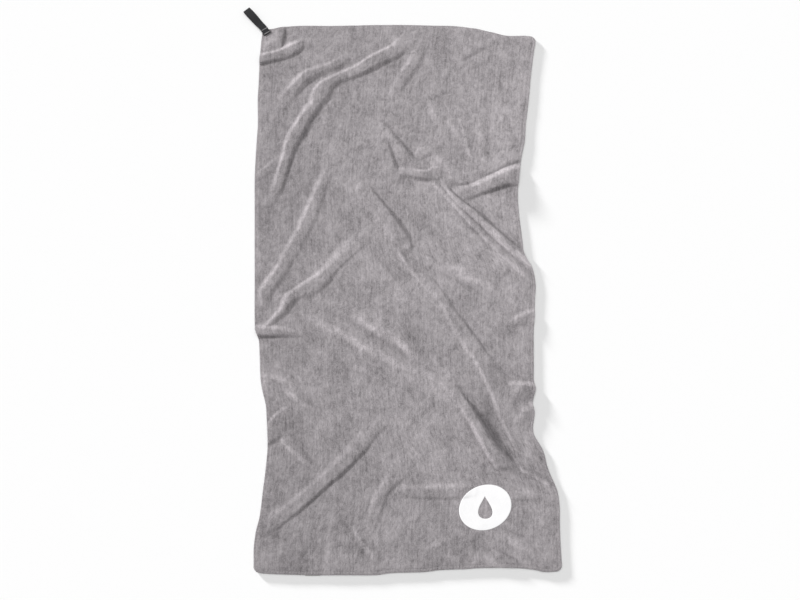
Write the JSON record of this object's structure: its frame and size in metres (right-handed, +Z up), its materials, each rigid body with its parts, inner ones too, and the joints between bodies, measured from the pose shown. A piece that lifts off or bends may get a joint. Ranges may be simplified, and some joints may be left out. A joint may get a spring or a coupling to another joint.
{
  "type": "sports towel",
  "caption": "Plush rectangular sports towel with an overlocked border, a webbing hang loop on one corner and an oval badge; it folds in half across the middle.",
  "frame": {"origin": "centre of the towel's rectangle, on its underside", "axes": "+Y along the towel towards the end with the hang loop, +X to the right as the badge face is read, +Z up out of the badge face"},
  "size_m": [0.5328, 1.0393, 0.0082],
  "materials": {
    "plush": "short plush microfibre pile",
    "edge_thread": "overlock thread",
    "webbing": "woven tape",
    "tack_thread": "polyester thread",
    "badge_white": "flocked print",
    "label_satin": "satin ribbon"
  },
  "bodies": {
    "upper_half": {"towel_cloth_upper": "plush", "overlock_edge_upper": "edge_thread", "loop_tail": "webbing", "loop_bartack": "tack_thread"},
    "lower_half": {"towel_cloth_lower": "plush", "overlock_edge_lower": "edge_thread", "badge": "badge_white", "care_label": "label_satin"},
    "hang_loop": {"hang_loop": "webbing"}
  },
  "joints": [
    {"name": "fold_across", "type": "hinge", "parent": "upper_half", "child": "lower_half", "pos_m": [0, -0.001, 0.014], "axis": [-1, 0, 0], "range_deg": [0, 178]},
    {"name": "loop_swing", "type": "hinge", "parent": "upper_half", "child": "hang_loop", "pos_m": [-0.24836, 0.49996, 0.0056], "axis": [0.766, 0.6428, 0], "range_deg": [0, 170]}
  ]
}
